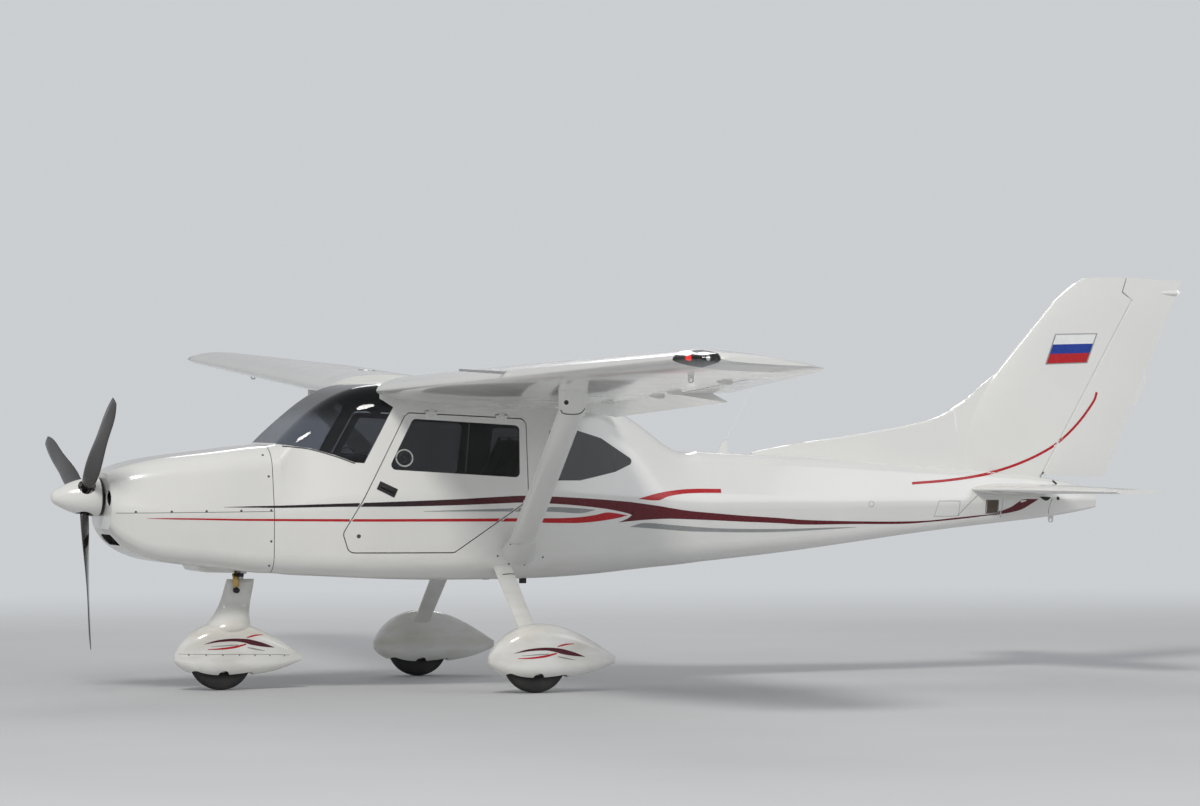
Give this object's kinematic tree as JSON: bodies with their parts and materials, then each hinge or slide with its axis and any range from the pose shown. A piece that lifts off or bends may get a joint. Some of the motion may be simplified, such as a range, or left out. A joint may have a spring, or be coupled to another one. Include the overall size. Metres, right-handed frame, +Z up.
{
  "type": "high-wing ultralight aircraft",
  "caption": "White high-wing strut-braced ultralight aircraft on tricycle gear, with hollow two-seat cabin, lifting doors, propeller and moving control surfaces.",
  "frame": {"origin": "on the ground under the middle of the aircraft's length and span", "axes": "+X to the tail, nose at -X, -Y the left side, +Z up"},
  "size_m": [6.98, 9.4, 2.332],
  "materials": {
    "white_gelcoat": "gloss",
    "clear_glazing": "gloss",
    "lamp_glazing": "gloss",
    "carbon_black": "satin",
    "spinner_white": "gloss",
    "bare_metal": "satin",
    "rim_metal": "satin",
    "tyre_rubber": "matte",
    "engine_iron": "matte",
    "panel_black": "matte",
    "interior_grey": "matte",
    "seat_fabric": "matte"
  },
  "bodies": {
    "airframe": {"antenna": "white_gelcoat", "cabin_floor": "interior_grey", "cabin_shell": "white_gelcoat", "control_sticks": "bare_metal", "cowling_lower": "white_gelcoat", "cowling_upper": "white_gelcoat", "engine": "engine_iron", "fin": "white_gelcoat", "gear_leg_fairings": "white_gelcoat", "instrument_panel": "panel_black", "main_gear_leg_left": "white_gelcoat", "main_gear_leg_right": "white_gelcoat", "main_spat_left": "white_gelcoat", "main_spat_right": "white_gelcoat", "nose_leg_bearing": "bare_metal", "pitot_tube": "bare_metal", "quarter_windows": "clear_glazing", "rear_bulkhead": "interior_grey", "seat_backs": "seat_fabric", "seat_cushions": "seat_fabric", "stabilizer": "white_gelcoat", "strut_fairings": "white_gelcoat", "strut_left": "white_gelcoat", "strut_right": "white_gelcoat", "tail_boom": "white_gelcoat", "windscreen": "clear_glazing", "wing_left": "white_gelcoat", "wing_right": "white_gelcoat", "wingtip_left": "white_gelcoat", "wingtip_lenses": "lamp_glazing", "wingtip_right": "white_gelcoat"},
    "propeller": {"spinner": "spinner_white", "propeller_hub": "bare_metal", "propeller_blade_1": "carbon_black", "propeller_blade_2": "carbon_black", "propeller_blade_3": "carbon_black"},
    "door_left": {"door_left": "white_gelcoat", "door_window_left": "clear_glazing"},
    "door_right": {"door_right": "white_gelcoat", "door_window_right": "clear_glazing"},
    "nose_gear": {"nose_fork": "bare_metal", "nose_spat": "white_gelcoat"},
    "nose_wheel": {"nose_tyre": "tyre_rubber", "nose_rim": "rim_metal"},
    "main_wheel_left": {"main_tyre_left": "tyre_rubber", "main_rim_left": "rim_metal"},
    "main_wheel_right": {"main_tyre_right": "tyre_rubber", "main_rim_right": "rim_metal"},
    "flap_left": {"flap_left": "white_gelcoat"},
    "flap_right": {"flap_right": "white_gelcoat"},
    "aileron_left": {"aileron_left": "white_gelcoat"},
    "aileron_right": {"aileron_right": "white_gelcoat"},
    "elevator": {"elevator": "white_gelcoat"},
    "rudder": {"rudder": "white_gelcoat"}
  },
  "joints": [
    {"name": "propeller_spin", "type": "hinge", "parent": "airframe", "child": "propeller", "pos_m": [-3.3, 0, 1.105], "axis": [1, 0, 0], "continuous": true},
    {"name": "main_wheel_left_spin", "type": "hinge", "parent": "airframe", "child": "main_wheel_left", "pos_m": [-0.985, -1.058, 0.18], "axis": [0, 1, 0], "continuous": true},
    {"name": "main_wheel_right_spin", "type": "hinge", "parent": "airframe", "child": "main_wheel_right", "pos_m": [-0.985, 1.058, 0.18], "axis": [0, 1, 0], "continuous": true},
    {"name": "nose_steer", "type": "hinge", "parent": "airframe", "child": "nose_gear", "pos_m": [-2.505, 0, 0.18], "axis": [0.2453, 0, 0.9694], "range_deg": [-25, 25]},
    {"name": "nose_wheel_spin", "type": "hinge", "parent": "nose_gear", "child": "nose_wheel", "pos_m": [-2.505, 0, 0.18], "axis": [0, 1, 0], "continuous": true},
    {"name": "door_left_swing", "type": "hinge", "parent": "airframe", "child": "door_left", "pos_m": [-1.195, -0.5215, 1.554], "axis": [0.9983, 0, -0.0587], "range_deg": [-80, 0]},
    {"name": "door_right_swing", "type": "hinge", "parent": "airframe", "child": "door_right", "pos_m": [-1.195, 0.5215, 1.554], "axis": [0.9983, 0, -0.0587], "range_deg": [0, 80]},
    {"name": "flap_right_swing", "type": "hinge", "parent": "airframe", "child": "flap_right", "pos_m": [-0.65139, 0.61, 1.63592], "axis": [0.0189, 0.9987, 0.0472], "range_deg": [-10, 28]},
    {"name": "flap_left_swing", "type": "hinge", "parent": "airframe", "child": "flap_left", "pos_m": [-0.65139, -0.61, 1.63592], "axis": [-0.0189, 0.9987, -0.0472], "range_deg": [-10, 28]},
    {"name": "aileron_right_swing", "type": "hinge", "parent": "airframe", "child": "aileron_right", "pos_m": [-0.61885, 2.415, 1.72139], "axis": [-0.0829, 0.9951, 0.0531], "range_deg": [-20, 20]},
    {"name": "aileron_left_swing", "type": "hinge", "parent": "airframe", "child": "aileron_left", "pos_m": [-0.61885, -2.415, 1.72139], "axis": [0.0829, 0.9951, -0.0531], "range_deg": [-20, 20]},
    {"name": "elevator_swing", "type": "hinge", "parent": "airframe", "child": "elevator", "pos_m": [2.59, 0, 1.085], "axis": [0, 1, 0], "range_deg": [-25, 20]},
    {"name": "rudder_swing", "type": "hinge", "parent": "airframe", "child": "rudder", "pos_m": [2.57, 0, 1.165], "axis": [0.5007, 0, 0.8656], "range_deg": [-25, 25]}
  ],
  "couplings": [
    {"joint": "flap_left_swing", "follows": "flap_right_swing", "ratio": 1},
    {"joint": "aileron_left_swing", "follows": "aileron_right_swing", "ratio": -1},
    {"joint": "rudder_swing", "follows": "nose_steer", "ratio": -1}
  ]
}
